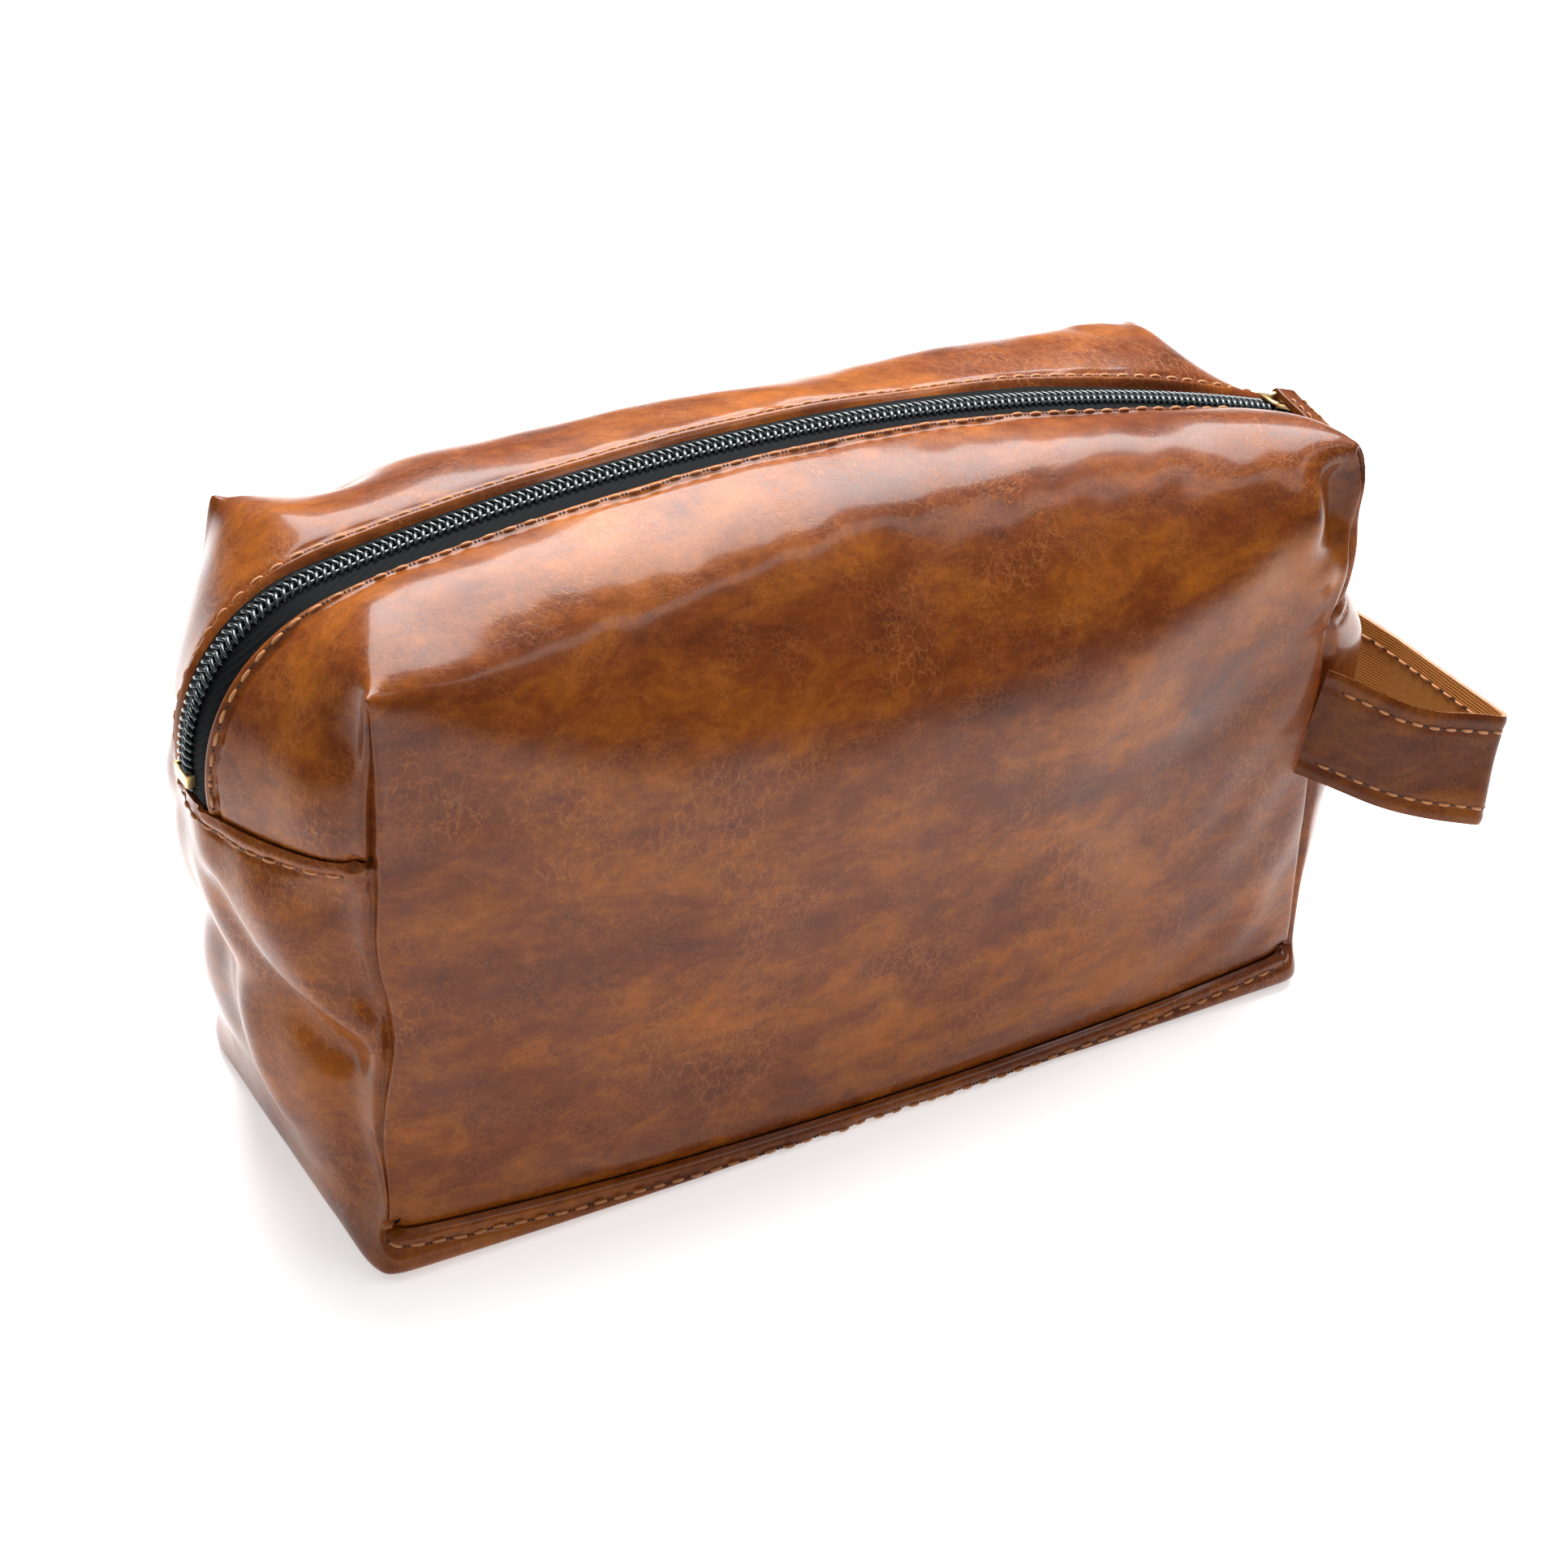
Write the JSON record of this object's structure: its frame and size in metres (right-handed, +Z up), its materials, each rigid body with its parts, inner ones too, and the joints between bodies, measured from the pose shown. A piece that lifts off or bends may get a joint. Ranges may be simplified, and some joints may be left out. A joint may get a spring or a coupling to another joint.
{
  "type": "shaving kit bag",
  "caption": "Box-bodied leather wash bag with an arched zip top, puffy ends, topstitched base and a folded carry loop at one end.",
  "frame": {"origin": "middle of the flat base, on the surface it stands on", "axes": "+Z up, +X along the bag towards the carry loop, -Y towards the front face"},
  "size_m": [0.3197, 0.1231, 0.1603],
  "materials": {
    "leather": "glossy mottled saddle leather",
    "lining_cloth": "black woven lining",
    "binding_tape": "black binding tape",
    "thread": "waxed tan thread",
    "zip_tape": "black twill zip tape",
    "zip_coil": "black nylon coil",
    "zip_metal": "antique brass",
    "loop_twill": "tan ribbed twill"
  },
  "bodies": {
    "bag": {"base_panel": "leather", "front_panel": "leather", "back_panel": "leather", "loop_front_tab": "leather", "loop_back_tab": "leather", "base_lining": "lining_cloth", "front_lining": "lining_cloth", "back_lining": "lining_cloth", "front_left_binding": "binding_tape", "back_left_binding": "binding_tape", "front_right_binding": "binding_tape", "back_right_binding": "binding_tape", "left_end_binding": "binding_tape", "right_end_binding": "binding_tape", "front_base_binding": "binding_tape", "back_base_binding": "binding_tape", "front_base_thread": "thread", "back_base_thread": "thread", "left_end_thread": "thread", "right_end_thread": "thread", "front_zip_thread_ends": "thread", "back_zip_thread_ends": "thread", "front_zip_tape_ends": "zip_tape", "back_zip_tape_ends": "zip_tape", "front_zip_coil_ends": "zip_coil", "back_zip_coil_ends": "zip_coil", "zip_bottom_stop": "zip_metal", "zip_top_stop": "zip_metal"},
    "front_flap": {"front_top_panel": "leather", "front_top_lining": "lining_cloth", "front_zip_tape": "zip_tape", "front_zip_coil": "zip_coil", "front_zip_thread": "thread"},
    "back_flap": {"back_top_panel": "leather", "back_top_lining": "lining_cloth", "back_zip_tape": "zip_tape", "back_zip_coil": "zip_coil", "back_zip_thread": "thread"},
    "slider": {"zip_slider": "zip_metal", "slider_bail": "zip_metal"},
    "pull": {"zip_pull": "leather", "pull_thread": "thread"},
    "loop": {"loop_leather": "leather", "loop_lining": "loop_twill", "loop_upper_thread": "thread", "loop_lower_thread": "thread"}
  },
  "joints": [
    {"name": "front_mouth", "type": "hinge", "parent": "bag", "child": "front_flap", "pos_m": [0, -0.04565, 0.14807], "axis": [1, 0, 0], "range_deg": [0, 75]},
    {"name": "back_mouth", "type": "hinge", "parent": "bag", "child": "back_flap", "pos_m": [0, 0.04565, 0.14807], "axis": [-1, 0, 0], "range_deg": [0, 75]},
    {"name": "zip_travel", "type": "hinge", "parent": "bag", "child": "slider", "pos_m": [-0.01, 0, -0.36], "axis": [0, -1, 0], "range_deg": [0, 27]},
    {"name": "pull_swing", "type": "hinge", "parent": "slider", "child": "pull", "pos_m": [0.14005, 0, 0.14174], "axis": [-0.9581, 0, 0.2865], "range_deg": [0, 175]},
    {"name": "loop_lift", "type": "hinge", "parent": "bag", "child": "loop", "pos_m": [0.128, 0, 0.0764], "axis": [0, -1, 0], "range_deg": [-4, 25], "stiffness_Nm_per_rad": 0.05, "springref_deg": 3.44}
  ]
}
